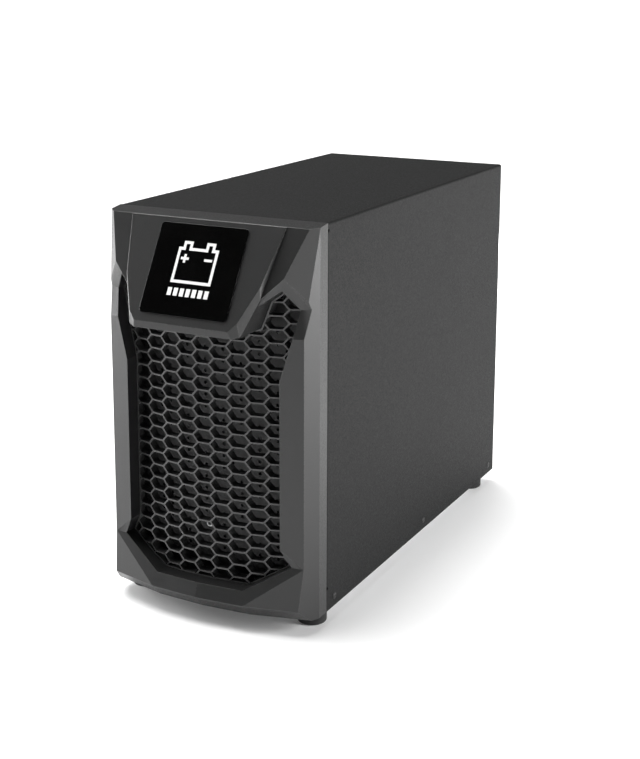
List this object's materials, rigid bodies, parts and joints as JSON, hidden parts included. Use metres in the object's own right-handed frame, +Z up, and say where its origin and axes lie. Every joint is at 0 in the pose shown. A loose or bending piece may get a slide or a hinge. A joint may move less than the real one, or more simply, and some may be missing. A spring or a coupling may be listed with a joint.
{
  "type": "external battery cabinet for a tower uninterruptible power supply",
  "caption": "Tower battery cabinet: folded steel case, faceted plastic front with a bowed honeycomb grille and a battery pictogram, rear breaker and battery sockets, on round feet.",
  "frame": {"origin": "under the middle of the object, on the surface the feet stand on", "axes": "+X to the right seen from the front, +Y to the back, +Z up"},
  "size_m": [0.1916, 0.4518, 0.3285],
  "materials": {
    "cover_steel": "fine texture powder coat",
    "zinc_steel": "zinc plated",
    "panel_steel": "satin black",
    "bezel_plastic": "fine texture",
    "mask_plastic": "fine texture",
    "label_gloss": "gloss",
    "white_print": "screen print",
    "grille_plastic": "satin",
    "tinned_metal": "bright plated",
    "red_boot": "soft vinyl",
    "black_lead": "pvc",
    "red_lead": "pvc",
    "foam": "foam",
    "ceramic": "glazed",
    "breaker_plastic": "moulded",
    "lever_plastic": "moulded",
    "socket_plastic": "moulded",
    "copper": "bare",
    "plate_silver": "satin",
    "foot_rubber": "moulded",
    "black_screw": "blackened",
    "battery_case": "moulded"
  },
  "bodies": {
    "cabinet": {"outer_cover": "cover_steel", "base_chassis": "zinc_steel", "front_panel": "panel_steel", "clinch_nut": "zinc_steel", "rear_panel": "cover_steel", "tray_middle": "zinc_steel", "tray_top": "zinc_steel", "battery_tabs": "tinned_metal", "tab_boots": "red_boot", "link_leads": "black_lead", "tier_leads": "black_lead", "negative_leads": "black_lead", "positive_leads": "red_lead", "front_battery_stops": "zinc_steel", "rear_battery_stops": "zinc_steel", "foam_pads": "foam", "string_fuse": "ceramic", "fuse_holder": "breaker_plastic", "breaker_body": "breaker_plastic", "breaker_pin": "tinned_metal", "breaker_frame": "bezel_plastic", "battery_socket_lower": "socket_plastic", "battery_socket_upper": "socket_plastic", "socket_contacts_lower": "tinned_metal", "socket_contacts_upper": "tinned_metal", "bus_bars": "copper", "earth_stud": "tinned_metal", "earth_nut": "tinned_metal", "rating_plate": "plate_silver", "foot_front_left": "foot_rubber", "foot_rear_left": "foot_rubber", "foot_front_right": "foot_rubber", "foot_rear_right": "foot_rubber", "foot_screws": "tinned_metal", "cover_screws": "black_screw", "tray_screws": "tinned_metal", "rear_screws": "black_screw", "battery_01": "battery_case", "battery_02": "battery_case", "battery_03": "battery_case", "battery_04": "battery_case", "battery_05": "battery_case", "battery_06": "battery_case", "battery_07": "battery_case", "battery_08": "battery_case", "battery_09": "battery_case", "battery_10": "battery_case", "battery_11": "battery_case", "battery_12": "battery_case"},
    "bezel": {"front_bezel": "bezel_plastic", "console_mask": "mask_plastic", "label_panel": "label_gloss", "battery_pictogram": "white_print", "honeycomb_grille": "grille_plastic"},
    "lever": {"breaker_lever": "lever_plastic"}
  },
  "joints": [
    {"name": "bezel_pull", "type": "slide", "parent": "cabinet", "child": "bezel", "axis": [0, -1, 0], "range_m": [0, 0.06]},
    {"name": "breaker_toggle", "type": "hinge", "parent": "cabinet", "child": "lever", "pos_m": [-0.048, 0.2119, 0.0855], "axis": [1, 0, 0], "range_deg": [0, 44]}
  ]
}
